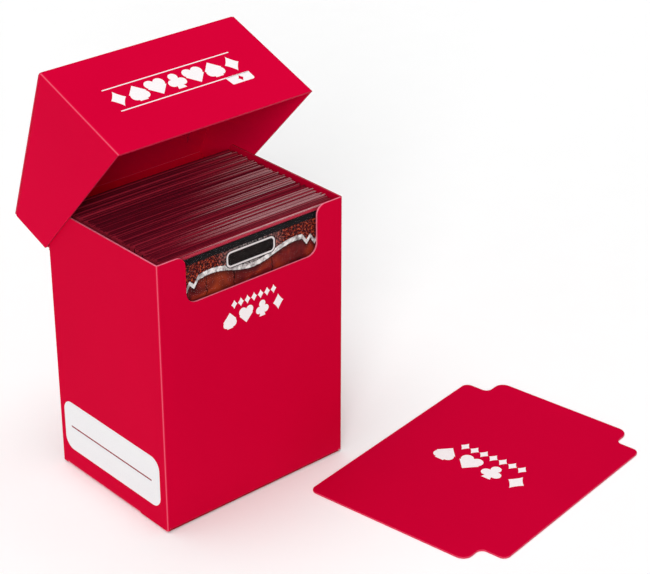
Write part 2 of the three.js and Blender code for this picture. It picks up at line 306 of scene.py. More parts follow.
def turned_in(origin, along, inward, profile, reaches, fold=FOLD, top=False):
    """A flap hinged along a straight line.

    profile is its section (inward, height) before folding. reaches gives (distance down the section, from,
    to) along the wall, so that a flap can widen or taper. top is for a flap at the upper edge of a wall.
    """
    run, section, folds = folded_line(profile, fold)
    knots = np.array(reaches, float)
    whole = np.unique(np.round(np.concatenate([run, knots[:, 0]]), 6))
    whole = whole if top else whole[::-1]
    inset, height = (np.interp(whole, run, section[:, i])[:, None] for i in (0, 1))
    reach = np.stack([np.interp(whole, knots[:, 0], knots[:, i]) for i in (1, 2)], 1)
    origin, along, inward = (np.array(v, float) for v in (origin, along, inward))
    flat = origin + inset[..., None] * inward + reach[..., None] * along
    pale = stretch_and_highlight(whole, folds)[:, None]
    return strip(np.dstack([flat, *np.broadcast_arrays(height, pale, reach)[:2]]))


def evenly(*reaches):
    """The reaches of a flap that is as wide on both sides of its middle, from (distance, half width)."""
    return [(distance, -half, half) for distance, half in reaches]


box_ring = folded_line(
    [
        (HALF_WIDTH, HALF_DEPTH),
        (-HALF_WIDTH, HALF_DEPTH),
        (-HALF_WIDTH, -HALF_DEPTH),
        (HALF_WIDTH, -HALF_DEPTH),
        (HALF_WIDTH, HALF_DEPTH - FLAP_LEVEL),
        (SEAM_FLAP_END, HALF_DEPTH - FLAP_LEVEL),
    ]
)
BACK_LEFT, FRONT_LEFT, FRONT_RIGHT, SEAM = box_ring[2]
flap_end = box_ring[0][-1]
front = FRONT_LEFT + HALF_WIDTH
notch_floor = RIM - NOTCH_DEPTH
free_back = SEAM - FOLD
fold_end = HALF_WIDTH - CLEAR
left_flap = (BACK_LEFT + HALF_DEPTH - DUST_BACK, BACK_LEFT + HALF_DEPTH - DUST_FRONT)
right_flap = (FRONT_RIGHT + HALF_DEPTH + DUST_FRONT, FRONT_RIGHT + HALF_DEPTH + DUST_BACK)
back_wall = [
    (0, CLEAR),
    (CLEAR, CLEAR),
    (BACK_LEFT - CLEAR, CLEAR),
    (BACK_LEFT - CLEAR, CREASE_TOP),
    (0, CREASE_TOP),
]
left_wall = [
    (BACK_LEFT + CLEAR, SIDE_FOOT),
    (left_flap[0], SIDE_FOOT),
    (left_flap[0], FLAP_ROOT),
    (left_flap[1], FLAP_ROOT),
    (left_flap[1], SIDE_FOOT),
    (FRONT_LEFT - CLEAR, SIDE_FOOT),
    (FRONT_LEFT - CLEAR, RIM),
    (BACK_LEFT + FOLD, RIM, RIM_CORNER),
    (BACK_LEFT + FOLD, CREASE_TOP),
    (BACK_LEFT + CLEAR, CREASE_TOP),
]
front_wall = [
    (FRONT_LEFT + CLEAR, FLAP_ROOT),
    (FRONT_RIGHT - CLEAR, FLAP_ROOT),
    (FRONT_RIGHT - CLEAR, RIM),
    (front + NOTCH_HALF, RIM, NOTCH_LIP),
    (front + NOTCH_HALF, notch_floor, NOTCH_CORNER),
    (front - NOTCH_HALF, notch_floor, NOTCH_CORNER),
    (front - NOTCH_HALF, RIM, NOTCH_LIP),
    (FRONT_LEFT + CLEAR, RIM),
]
right_wall = [
    (FRONT_RIGHT + CLEAR, SIDE_FOOT),
    (right_flap[0], SIDE_FOOT),
    (right_flap[0], FLAP_ROOT),
    (right_flap[1], FLAP_ROOT),
    (right_flap[1], SIDE_FOOT),
    (free_back, SIDE_FOOT),
    (free_back, SEAM_FOOT),
    (SEAM - CLEAR, SEAM_FOOT),
    (SEAM - CLEAR, SEAM_TOP),
    (free_back, SEAM_TOP),
    (free_back, RIM, RIM_CORNER),
    (FRONT_RIGHT + CLEAR, RIM),
]
seam_flap = [
    (SEAM + CLEAR, SEAM_FOOT),
    (flap_end, SEAM_FOOT + SEAM_TAPER),
    (flap_end, SEAM_TOP - SEAM_TAPER),
    (SEAM + CLEAR, SEAM_TOP),
]
box_walls = (back_wall, left_wall, front_wall, right_wall, seam_flap)
box_patches = [wall(box_ring, corners) for corners in box_walls]
box_patches += [
    upright_fold(box_ring, BACK_LEFT, (CLEAR, SIDE_FOOT, SIDE_FOOT), (CREASE_TOP,) * 3),
    upright_fold(box_ring, FRONT_LEFT, (SIDE_FOOT, SIDE_FOOT, FLAP_ROOT), (RIM,) * 3),
    upright_fold(box_ring, FRONT_RIGHT, (FLAP_ROOT, SIDE_FOOT, SIDE_FOOT), (RIM,) * 3),
    upright_fold(box_ring, SEAM, (SEAM_FOOT,) * 3, (SEAM_TOP,) * 3),
    # the bottom panel comes in from the back wall and the glue flap from the front wall
    turned_in(
        (0, HALF_DEPTH),
        (-1, 0),
        (0, -1),
        [(0, CLEAR), (0, 0), (BOTTOM_DEPTH, 0)],
        evenly(
            (0, fold_end),
            (BOTTOM_NARROWS[0], fold_end),
            (BOTTOM_NARROWS[1], BOTTOM_HALF),
            (CLEAR + BOTTOM_DEPTH + OVERRUN, BOTTOM_HALF),
        ),
    ),
    turned_in(
        (0, -HALF_DEPTH),
        (1, 0),
        (0, 1),
        [(0, FLAP_ROOT), (0, FLAP_LEVEL), (GLUE_FLAP_DEPTH, FLAP_LEVEL)],
        evenly(
            (0, fold_end),
            (FLAP_NARROWS, fold_end),
            (CLEAR + GLUE_FLAP_DEPTH + OVERRUN, GLUE_FLAP_HALF),
        ),
    ),
]
dust_flap = [
    (0, DUST_FRONT, DUST_BACK),
    (FLAP_NARROWS, DUST_FRONT, DUST_BACK),
    (CLEAR + DUST_DEPTH + OVERRUN, DUST_TIP_FRONT, DUST_TIP_BACK),
]
box_patches += [
    turned_in(
        (side * HALF_WIDTH, 0),
        (0, side),
        (-side, 0),
        [(0, FLAP_ROOT), (0, FLAP_LEVEL), (DUST_DEPTH, FLAP_LEVEL)],
        [(distance, *sorted((side * low, side * high))) for distance, low, high in dust_flap],
    )
    for side in (-1, 1)
]
red_sheet = polypropylene("calendered_polypropylene_box", "#c8002f", "#d00233")
# the box's rims are painted pale pink, a painted highlight on the left and front rims only
rim_edge = die_cut_edge("painted_highlight_die_cut_polypropylene", "#dd4a6b", "#f48ca2", highlight_ends=35.2)
box_nodes = ["front_panel", "back_panel", "left_side_panel", "right_side_panel", "seam_glue_flap"]
box_nodes += ["bottom_panel", "bottom_glue_flap", "dust_flap_left", "dust_flap_right"]
piece("folded_box", box_patches, [red_sheet, rim_edge], "box", box_nodes, SHEET)

# ---- The lid ------------------------------------------------------------------------------------------
# The lid is the top of the same sheet. Its sides fold back from its front panel, and their top edges turn
# in and are welded under the top panel. It is worked out shut, about the crease, and then turned open.

LID_RISE, LID_DEPTH, LID_SIDE = 17.6, 56.85, 36.85
LID_FRONT_FOOT = -23.2
LID_TOP_ROOT = LID_RISE - CLEAR
TAB_FOLD, TAB_LEVEL, TAB_DEPTH = 0.62, 16.96, 7.9
TAB_BACK, TAB_FRONT, TAB_TAPER, TAB_NARROWS, TAB_END = 4.6, 52.25, 3.0, 2.0, 8.9
TAB_ROOT = TAB_LEVEL - TAB_FOLD - FOLD_REST
HEEL_CORNER = 0.6
TOP_HALF, BACK_HALF = 36.84, 36.2
LID_OPEN = math.radians(70)


def opened(points, share=1.0):
    """Turns points from the shut lid's place back about the crease by a share of the lid's opening."""
    angle = -LID_OPEN * share
    y, z = points[:, 1], points[:, 2]
    back = HALF_DEPTH + y * np.cos(angle) - z * np.sin(angle)
    up = CREASE_LEVEL + y * np.sin(angle) + z * np.cos(angle)
    return np.stack([points[:, 0], back, up], 1)


lid_ring = folded_line([(-LID_SIDE, 0), (-LID_SIDE, -LID_DEPTH), (LID_SIDE, -LID_DEPTH), (LID_SIDE, 0)])
LID_LEFT, LID_RIGHT = lid_ring[2]
lid_end = lid_ring[0][-1]


def slant(run):
    """Height of the lid's free edge: it falls from the crease to the front panel, and is level there."""
    turns = [0, LID_LEFT, LID_RIGHT, lid_end]
    return np.interp(run, turns, [CREASE_HALF, LID_FRONT_FOOT, LID_FRONT_FOOT, CREASE_HALF])


def over_the_top():
    """The top panel and the back section: one strip from the front panel, over, and down to the crease.

    Its half width grows just past the front fold, so that it covers the tops of the sides, and shrinks at
    the back fold to the width of the back wall.
    """
    section = [(-LID_DEPTH, LID_TOP_ROOT), (-LID_DEPTH, LID_RISE), (0, LID_RISE), (0, CREASE_HALF)]
    run, section, folds = folded_line(section)
    over, down = folds
    corner = LID_SIDE - CLEAR
    distances = [0, over, over + 0.5, over + 1.2, down, down + 0.6, run[-1]]
    halves = [corner, corner + 0.05, 36.5, TOP_HALF, TOP_HALF, BACK_HALF, BACK_HALF]
    whole = np.unique(np.round(np.concatenate([run, distances]), 6))
    half = np.interp(whole, distances, halves)
    grid = np.zeros((len(whole), 2, 4))
    grid[..., 0] = np.stack([-half, half], 1)
    grid[..., 1] = np.interp(whole, run, section[:, 0])[:, None]
    grid[..., 2] = np.interp(whole, run, section[:, 1])[:, None]
    grid[..., 3] = stretch_and_highlight(whole, folds)[:, None]
    return strip(grid)


lid_left = [
    (0, slant(0)),
    (LID_LEFT - CLEAR, slant(LID_LEFT - CLEAR)),
    (LID_LEFT - CLEAR, TAB_LEVEL),
    (TAB_FRONT, TAB_LEVEL),
    (TAB_FRONT, TAB_ROOT),
    (TAB_BACK, TAB_ROOT),
    (TAB_BACK, TAB_LEVEL),
    (0, TAB_LEVEL, HEEL_CORNER),
]
lid_front = [
    (LID_LEFT + CLEAR, LID_FRONT_FOOT),
    (LID_RIGHT - CLEAR, LID_FRONT_FOOT),
    (LID_RIGHT - CLEAR, LID_TOP_ROOT),
    (LID_LEFT + CLEAR, LID_TOP_ROOT),
]
lid_right = [
    (LID_RIGHT + CLEAR, slant(LID_RIGHT + CLEAR)),
    (lid_end, slant(lid_end)),
    (lid_end, TAB_LEVEL, HEEL_CORNER),
    (lid_end - TAB_BACK, TAB_LEVEL),
    (lid_end - TAB_BACK, TAB_ROOT),
    (lid_end - TAB_FRONT, TAB_ROOT),
    (lid_end - TAB_FRONT, TAB_LEVEL),
    (LID_RIGHT + CLEAR, TAB_LEVEL),
]
lid_patches = [wall(lid_ring, corners) for corners in (lid_left, lid_front, lid_right)]
lid_patches += [
    upright_fold(lid_ring, LID_LEFT, slant, (TAB_LEVEL, TAB_LEVEL, LID_TOP_ROOT)),
    upright_fold(lid_ring, LID_RIGHT, slant, (LID_TOP_ROOT, TAB_LEVEL, TAB_LEVEL)),
    over_the_top(),
]
glue_tab = [
    (0, TAB_BACK, TAB_FRONT),
    (TAB_NARROWS, TAB_BACK, TAB_FRONT),
    (TAB_END, TAB_BACK + TAB_TAPER, TAB_FRONT - TAB_TAPER),
]
lid_patches += [
    turned_in(
        origin,
        (0, side),
        (-side, 0),
        [(0, TAB_ROOT), (0, TAB_LEVEL), (TAB_DEPTH, TAB_LEVEL)],
        glue_tab,
        TAB_FOLD,
        top=True,
    )
    for side, origin in ((-1, (-LID_SIDE, 0)), (1, (LID_SIDE, -LID_DEPTH)))
]
# the lid's sheet is painted a little brighter than the box's, and its inner side brighter still: painted
# light on the same plastic, lifting the shade inside the lid
lid_sheet = polypropylene("calendered_polypropylene_lid", "#cd0033", "#d60237")
lid_inside = polypropylene("painted_light_polypropylene_lid_inside", "#e0003a", "#e8033d")
# the lid's cut edges are painted darker than its sheet: a painted shade line along them
lid_edge = die_cut_edge("die_cut_polypropylene_lid", "#b40230", "#cc1a42")
lid_nodes = ["lid_back_panel", "lid_top_panel", "lid_front_panel", "lid_left_side", "lid_right_side"]
lid_nodes += ["lid_left_glue_tab", "lid_right_glue_tab"]
lid_materials = [lid_sheet, lid_edge, lid_inside]
piece("folded_lid", lid_patches, lid_materials, "lid", lid_nodes, SHEET, opened)

# ---- The living hinge ---------------------------------------------------------------------------------
# The crease between the back wall and the lid is the same sheet, pressed to under half its thickness by a
# blunt rule. It is what bends, so it is paler than the faces it joins, and it crosses from box to lid.

WEB_HALF = 35.9
OUTER_GROOVE, INNER_GROOVE = 0.14, 0.2
WEB_PALE = 0.6


def hinge_web():
    """A bar along X. Its section goes up the outside and down the inside, grooved on both faces.

    A groove's depth is g (1 - (t / 0.6)^2)^2, for t from -0.6 to 0.6 mm up the crease, and each point is
    turned by a smooth step's share of the lid's opening, from 0 at the box to 1 at the lid.
    """
    t = np.linspace(-CREASE_HALF, CREASE_HALF, 9)
    groove = (1 - (t / CREASE_HALF) ** 2) ** 2
    outer, inner = OUTER_GROOVE * groove, SHEET - INNER_GROOVE * groove
    along = np.concatenate([t, t[::-1]])
    depth = np.concatenate([outer, inner[::-1]])
    pale = np.concatenate([groove, groove[::-1]]) * WEB_PALE
    step = (along + CREASE_HALF) / (2 * CREASE_HALF)
    turned = opened(np.stack([along * 0, -depth, along], 1), step * step * (3 - 2 * step))
    x = np.linspace(-WEB_HALF, WEB_HALF, 13)
    closed = np.concatenate([np.arange(len(along)), [0]])
    grid = np.zeros((len(x), len(closed), 4))
    grid[..., 0] = x[:, None]
    grid[..., 1:3] = turned[closed][None, :, 1:]
    grid[..., 3] = pale[closed][None]
    return [strip(grid[::-1]), panel(grid[0, :-1]), panel(grid[-1, -2::-1])]


web = piece("living_hinge", hinge_web(), [lid_sheet], None, ["lid_hinge_crease"])
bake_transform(web)

# ---- The divider --------------------------------------------------------------------------------------
# A loose flat sheet of the same plastic with three stepped corners, die-cut and laid on the table.

DIVIDER_X, DIVIDER_Y = 64.5, -65.9
DIVIDER_TURN = math.radians(9.6)
DIVIDER_END, DIVIDER_EDGE = 47, 35
STEP_ALONG, STEP_ACROSS = 8, 9.2
OUTER_ROUND, SHOULDER_ROUND, STEP_ROUND = 3.4, 2.4, 2.2


def on_divider(points):
    """Points drawn on the divider's own length and width, turned and put in their place on the table."""
    c, s = math.cos(DIVIDER_TURN), math.sin(DIVIDER_TURN)
    moved = points.copy()
    moved[:, 0] = DIVIDER_X + points[:, 0] * c - points[:, 1] * s
    moved[:, 1] = DIVIDER_Y + points[:, 0] * s + points[:, 1] * c
    return moved


step_x, step_y = DIVIDER_END - STEP_ALONG, DIVIDER_EDGE - STEP_ACROSS
divider_outline, _ = rounded(
    [
        (-step_x, -DIVIDER_EDGE, SHOULDER_ROUND),
        (step_x, -DIVIDER_EDGE, SHOULDER_ROUND),
        (step_x, -step_y, STEP_ROUND),
        (DIVIDER_END, -step_y, OUTER_ROUND),
        (DIVIDER_END, step_y, OUTER_ROUND),
        (step_x, step_y, STEP_ROUND),
        (step_x, DIVIDER_EDGE, SHOULDER_ROUND),
        (-DIVIDER_END, DIVIDER_EDGE, SHOULDER_ROUND),
        (-DIVIDER_END, -step_y, OUTER_ROUND),
        (-step_x, -step_y, STEP_ROUND),
    ]
)
divider_face = panel(np.pad(divider_outline, ((0, 0), (0, 2))) + (0, 0, SHEET, 0))
# the divider's sheet is painted a little darker than the box's: painted shade on the same plastic
divider_sheet = polypropylene("calendered_polypropylene_divider", "#c20030", "#cb0133")
# its cut edge is painted paler than the sheet: a painted highlight
divider_edge = die_cut_edge("die_cut_polypropylene_divider", "#c81a42", "#dc4668")
piece(
    "stepped_divider",
    [divider_face],
    [divider_sheet, divider_edge],
    "divider",
    ["card_divider"],
    SHEET,
    on_divider,
)

# ---- The printing -------------------------------------------------------------------------------------
# White screen-printing ink lies on the plastic as a film some hundredths of a millimetre thick. The marks
# are the four card suits in plain rows, with two rules and a small tag on the lid.

INK = 0.03
SUITS = ["spade", "heart", "club", "diamond"]
MARK_LEVEL = 67.2
PIP_ROW = (-9.2, 9.2, 3.1, 3.0)  # a row's first and last edges, its level and the height of its suits
SUIT_ROW = (-12.2, 12.2, -1.9, 5.4)
DIVIDER_MARK, DIVIDER_MARK_SHIFT = 1.46, 0.6
LID_ROW = ["diamond", "spade", "heart", "club", "heart", "spade", "diamond"]
LID_ROW_PLACE = (11.4, 61.2, -19.95, 7.0)
RULE_FROM, RULE_TO, RULE_THICK = 12.3, 60.2, 0.4
UPPER_RULE, LOWER_RULE = -14.9, -25.0
TAG = [(51.9, -28.5, 0.4), (60.4, -28.5, 0.8), (60.4, -24.9, 0), (51.3, -24.9, 0)]
TAG_PIP, TAG_PIP_PLACE = 2.6, (56.1, -26.7)


def farthest(*reaches):
    """The outline that takes the longest reach of several along each ray."""
    return np.max(np.nan_to_num(np.array(reaches)), axis=0)


def disc_reach(angle, away, bearing, radius):
    """How far a ray at each angle goes from the middle before it leaves a disc at that bearing."""
    off = angle - bearing
    inside = radius**2 - (away * np.sin(off)) ** 2
    reach = away * np.cos(off) + np.sqrt(np.clip(inside, 0, None))
    return np.where((inside >= 0) & (reach > 0), reach, 0)


def suit(kind, height):
    """Outline of a card suit round its middle, as reach along each of 96 rays.

    diamond: 1 / (|1.3 cos|^p + |sin|^p)^(1/p) with p = 0.85. heart: two discs above a straight-sided point.
    spade: the heart upside down with a foot. club: three discs with a foot.
    """
    angle = np.linspace(0, 2 * np.pi, 96, endpoint=False)
    c, s = np.cos(angle), np.sin(angle)
    if kind == "diamond":
        reach = (abs(c * 1.3) ** 0.85 + abs(s) ** 0.85) ** (-1 / 0.85)
    elif kind == "club":
        reach = farthest(*[disc_reach(angle, 0.5, bearing, 0.44) for bearing in np.radians([90, 205, -25])])
    else:
        up = -1 if kind == "spade" else 1
        point = np.where(s * up < 0, 1.0 / np.maximum(abs(s) + 1.05 * abs(c), 1e-6), 0)
        bearings = (up * np.radians(38), np.pi - up * np.radians(38))
        reach = farthest(point, *[disc_reach(angle, 0.56, bearing, 0.5) for bearing in bearings])
    if kind in ("spade", "club"):
        foot = np.where((s < 0) & (abs(c) < 0.42 * abs(s)), 1.0 / np.maximum(abs(s), 1e-9), 0)
        reach = farthest(reach, foot)
    outline = np.stack([reach * c, reach * s], 1)
    outline[:, 1] -= (outline[:, 1].max() + outline[:, 1].min()) / 2
    return outline * height / np.ptp(outline[:, 1])


def row(kinds, first, last, level, height):
    """Suits set in a row, evenly from first to last, with their middles at one level."""
    spots = np.linspace(first + height / 2, last - height / 2, len(kinds))
    return [suit(kind, height) + (x, level) for kind, x in zip(kinds, spots)]


def rule(level):
    """A straight printed line."""
    low, high = level - RULE_THICK / 2, level + RULE_THICK / 2
    return np.array([(RULE_FROM, low), (RULE_TO, low), (RULE_TO, high), (RULE_FROM, high)])


def screen_ink():
    """White screen-printing ink: it dries matt, and the mesh leaves it thinner in specks of 0.4 mm."""
    material, tree, place = blank_material("white_screen_printing_ink")
    specks = add(tree, "TexNoise", {"Vector": place, "Scale": every(0.4), "Detail": 2.0})
    shades = {"Factor": specks, 6: linear("#efe6e8"), 7: linear("#fdfbfb")}
    colour = add(tree, "Mix", shades, data_type="RGBA")
    bump = add(tree, "Bump", {"Height": specks, "Strength": 0.3, "Distance": 0.02 * MM})
    look = {"Base Color": colour, "Roughness": 0.55, "Normal": bump, "Specular IOR Level": 0.3}
    add(tree, "OutputMaterial", {"Surface": add(tree, "BsdfPrincipled", look)})
    return material


def printed(name, outlines, axes, body, ink, place=None, film=INK):
    """Ink in the shape of flat outlines. axes are their origin, across and up; across x up is outwards."""
    origin, across, up = (np.array(v, float) for v in axes)
    out = np.cross(across, up)
    flats = [origin + flat[:, :1] * across + flat[:, 1:] * up + out * film for flat in outlines]
    patches = [panel(np.pad(flat, ((0, 0), (0, 1)))) for flat in flats]
    return piece(name, patches, [ink], body, (), film * 1.4, place)


white_ink = screen_ink()
mark = row(["diamond"] * 7, *PIP_ROW) + row(SUITS, *SUIT_ROW)
on_front = ((0, -HALF_DEPTH, MARK_LEVEL), (1, 0, 0), (0, 0, 1))
printed("front_wall_print", mark, on_front, "box", white_ink)

large_mark = [outline * DIVIDER_MARK for outline in mark]
along_divider = ((DIVIDER_MARK_SHIFT, 0, SHEET), (0, -1, 0), (1, 0, 0))
printed("divider_print", large_mark, along_divider, "divider", white_ink, on_divider)

tag, _ = rounded(TAG)
lid_mark = [rule(UPPER_RULE), rule(LOWER_RULE), tag] + row(LID_ROW, *LID_ROW_PLACE)
on_lid = ((-LID_SIDE, -LID_DEPTH, LID_RISE), (1, 0, 0), (0, 0, 1))
printed("lid_print", lid_mark, on_lid, "lid", white_ink, opened)

tag_pip = suit("diamond", TAG_PIP) + TAG_PIP_PLACE
on_tag = ((-LID_SIDE, -LID_DEPTH - INK, LID_RISE), (1, 0, 0), (0, 0, 1))
printed("lid_tag_pip", [tag_pip], on_tag, "lid", lid_sheet, opened)

# ---- The write-on label -------------------------------------------------------------------------------
# A field of matt white ink on the left wall, thick enough to take a pen, with a dark red line to write on.

LABEL_Y, LABEL_LEVEL = 0.2, 16.15
LABEL_HALF, LABEL_RISE, LABEL_ROUND = 25.1, 8.85, 4
LABEL_INK = 0.08
LINE_Y, LINE_LEVEL = 0.45, 16.05
LINE_HALF, LINE_THICK = 21.25, 0.56


def label_ink():
    """Matt white ink, with a tooth of 0.6 mm that takes a pen, and the line printed in it.

    The line is where a band of height and a band of depth cross.
    """
    material, tree, place = blank_material("matt_write_on_ink")
    axes = add(tree, "SeparateXYZ", {"Vector": place}).outputs
    tooth = add(tree, "TexNoise", {"Vector": place, "Scale": every(0.5556), "Detail": 3.0})
    shades = {"Factor": tooth, 6: linear("#e4e4e5"), 7: linear("#eeeff0")}
    white = add(tree, "Mix", shades, data_type="RGBA")
    height = {0: axes["Z"], 1: LINE_LEVEL * MM, 2: LINE_THICK / 2 * MM}
    depth = {0: axes["Y"], 1: LINE_Y * MM, 2: LINE_HALF * MM}
    level = add(tree, "Math", height, operation="COMPARE")
    across = add(tree, "Math", depth, operation="COMPARE")
    line = add(tree, "Math", {0: level, 1: across}, operation="MULTIPLY")
    colour = add(tree, "Mix", {"Factor": line, 6: white, 7: linear("#8e1a30")}, data_type="RGBA")
    bump = add(tree, "Bump", {"Height": tooth, "Strength": 0.4, "Distance": 0.03 * MM})
    look = {"Base Color": colour, "Roughness": 0.75, "Normal": bump, "Specular IOR Level": 0.25}
    add(tree, "OutputMaterial", {"Surface": add(tree, "BsdfPrincipled", look)})
    return material


label_corners = [
    (-LABEL_HALF, -LABEL_RISE, LABEL_ROUND),
    (LABEL_HALF, -LABEL_RISE, LABEL_ROUND),
    (LABEL_HALF, LABEL_RISE, LABEL_ROUND),
    (-LABEL_HALF, LABEL_RISE, LABEL_ROUND),
]
label_outline, _ = rounded(label_corners, 10)
on_left = ((-HALF_WIDTH, LABEL_Y, LABEL_LEVEL), (0, -1, 0), (0, 0, 1))
pen_ink = label_ink()
field = [label_outline]
label = printed("write_on_field", field, on_left, "box", pen_ink, film=LABEL_INK)
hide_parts("write_on_label")

# ---- The sleeved cards --------------------------------------------------------------------------------
# Eighty cards, each in its own pouch: a red film behind, a clear one in front, welded at the sides and the
# foot and open at the top. They stand loose, so they lean, bow and sit a little unevenly.

COUNT = 80
CARD_FLOOR = 1.35
FIRST_FACE, LAST_FACE = -26.9, 25.2
TIGHT_PITCH = 0.47
FILM, CARD = 0.07, 0.30
SLEEVE_WIDTH, SLEEVE_HEIGHT = 66.0, 90.4
CARD_WIDTH, CARD_FOOT, CARD_TOP = 63.0, 1.0, 89.0
CHAMFER = 0.4  # the top edges of film and card stand this far above a slight shoulder
BOW = 0.25

rng = np.random.default_rng(80)
parted = rng.random(COUNT - 1) < 0.38
gap = rng.gamma(0.8, 0.05, COUNT - 1) + parted * rng.gamma(5.0, 0.1, COUNT - 1)
gap = TIGHT_PITCH + gap * (LAST_FACE - FIRST_FACE - TIGHT_PITCH * (COUNT - 1)) / gap.sum()
bunch = np.concatenate([[0], np.cumsum(parted)])
face_top = FIRST_FACE + np.concatenate([[0], np.cumsum(gap)])
face_foot = np.linspace(FIRST_FACE, LAST_FACE, COUNT)
shift = 0.6 + np.clip(rng.normal(0, 0.5, COUNT), -1.1, 0.8)
# each sleeve's random share of painted light on its top edge
light_catch = rng.random(COUNT) ** 0.9
lift = rng.normal(-0.16, 0.07, COUNT) + rng.normal(0, 0.16, COUNT)[bunch]
lift = np.clip(lift, -0.55, 0.0)
shift[0], lift[0] = 0.3, 0.0  # the front card, whose print is drawn from its middle


def standing(which, inset, thick, width, foot, top):
    """Thin upright sheets, one for each sleeve in which, closed on all sides.

    A sheet is a grid across X, carried round its section. Its face is at y = foot + (top - foot) z / h, with
    a bow of 0.25 mm (1 - (2x / w)^2) that all sheets share, so that neighbours stay clear of each other. The
    top edge is marked from 0.25, closed and in painted shade, to 1, open and in painted light: by chance
    from sleeve to sleeve, and rising as a smooth step of 0.38 + 0.017 x - 0.016 y to the front right, a
    painted highlight where the light falls on the stack.
    """
    x = np.linspace(-0.5, 0.5, 9)[None, :, None]
    n = len(which)
    height = np.array([foot, top - CHAMFER, top, top, top - CHAMFER, foot])
    depth = inset + thick * np.array([0, 0, 0, 1, 1, 1])
    card_lift, card_foot, card_top, card_shift, card_light_catch = (
        values[which][:, None, None] for values in (lift, face_foot, face_top, shift, light_catch)
    )
    z = CARD_FLOOR + height + card_lift * (height > 20)
    face = card_foot + (card_top - card_foot) * z / (CARD_FLOOR + SLEEVE_HEIGHT)
    grid = np.zeros((n, x.size, 6, 4))
    grid[..., 0] = x * width + card_shift
    grid[..., 1] = face + depth + BOW * (1 - (2 * x) ** 2)
    grid[..., 2] = z
    # painted highlight rising to the front right of the stack
    front_right_light = np.clip(0.38 + 0.017 * x * width - 0.016 * face, 0, 1)
    front_right_light = front_right_light * front_right_light * (3 - 2 * front_right_light)
    painted_mouth_light = 0.25 + card_light_catch * (0.2 + 0.75 * front_right_light)
    grid[..., 3] = (height == top) * np.minimum(painted_mouth_light, 1)
    ring = np.arange(x.size * 6).reshape(x.size, 6)
    after = np.roll(ring, -1, axis=1)
    quads = np.stack([ring[:-1], ring[1:], after[1:], after[:-1]], -1).reshape(-1, 4)
    ends = np.array([[0, 1, 4, 5], [1, 2, 3, 4]])
    quads = np.concatenate([quads, ring[0][ends], ring[-1][ends[:, ::-1]]])
    all_quads = (quads[None] + np.arange(n)[:, None, None] * ring.size).reshape(-1, 4)
    return [(grid.reshape(-1, 4), all_quads.tolist())]


def sleeve_film(name, pigment, closed, edge, alpha, roughness, gloss):
    """Cast polypropylene film: glossy, finely streaked up the sleeve, with a cut edge in painted light and
    shade.

    pigment is its faces' colour, closed two painted shades for a shut mouth, edge one painted highlight for
    an open mouth, and alpha how solid it looks. A clear film's mouth is more solid than its face.
    """
    material, tree, place = blank_material(name)
    streaks = (every(2.5), every(0.3333), every(16.67))
    drawn = add(tree, "Mapping", {"Vector": place, "Scale": streaks})
    streak = add(tree, "TexNoise", {"Vector": drawn, "Scale": 1.0, "Detail": 2.0})
    cut = add(tree, "Attribute", attribute_name="pale", attribute_type="GEOMETRY").outputs["Fac"]
    shades = [(0.0, pigment), (0.24, closed[0]), (0.55, closed[1]), (1.0, edge)]
    # the top edge's painted shade and painted highlight, by the pale mark
    mouth_shade_and_light = add(tree, "ValToRGB", {"Fac": cut}, shades)
    shaded = add(tree, "MapRange", {"Value": streak, "To Min": 0.8, "To Max": 1.1})
    colour = add(tree, "VectorMath", {0: mouth_shade_and_light, "Scale": shaded}, operation="SCALE")
    bump = add(tree, "Bump", {"Height": streak, "Strength": 0.2, "Distance": 0.05 * MM})
    solid = alpha
    if alpha < 1:
        solid = add(tree, "MapRange", {"Value": cut, "From Min": 0.3, "To Min": alpha, "To Max": 0.7})
    look = {"Base Color": colour, "Roughness": roughness, "Alpha": solid, "Normal": bump}
    look["Specular IOR Level"] = gloss
    add(tree, "OutputMaterial", {"Surface": add(tree, "BsdfPrincipled", look)})
    return material


def card_stock():
    """Guillotined card edges: board in fibres of 0.25 mm, painted dark red as painted shade between the
    films.

    They are painted grey, as painted light, where a mouth stands open.
    """
    material, tree, place = blank_material("guillotined_card_board")
    fibre = add(tree, "TexNoise", {"Vector": place, "Scale": every(0.25), "Detail": 2.0})
    # painted shade between the films, and painted light in grey where a mouth stands open
    painted_dusk = add(tree, "Mix", {"Factor": fibre, 6: linear("#2a0710"), 7: linear("#661220")}, data_type="RGBA")
    mouth_light = add(tree, "Attribute", attribute_name="pale", attribute_type="GEOMETRY").outputs["Fac"]
    reached = add(tree, "MapRange", {"Value": mouth_light, "From Min": 0.5, "To Max": 1.0})
    colour = add(tree, "Mix", {"Factor": reached, 6: painted_dusk, 7: linear("#d4a8aa")}, data_type="RGBA")
    look = {"Base Color": colour, "Roughness": 0.7, "Specular IOR Level": 0.2}
    add(tree, "OutputMaterial", {"Surface": add(tree, "BsdfPrincipled", look)})
    return material


front_one, others = np.array([0]), np.arange(1, COUNT)
sleeve_size = (SLEEVE_WIDTH, 0.0, SLEEVE_HEIGHT)
card_size = (CARD_WIDTH, CARD_FOOT, CARD_TOP)
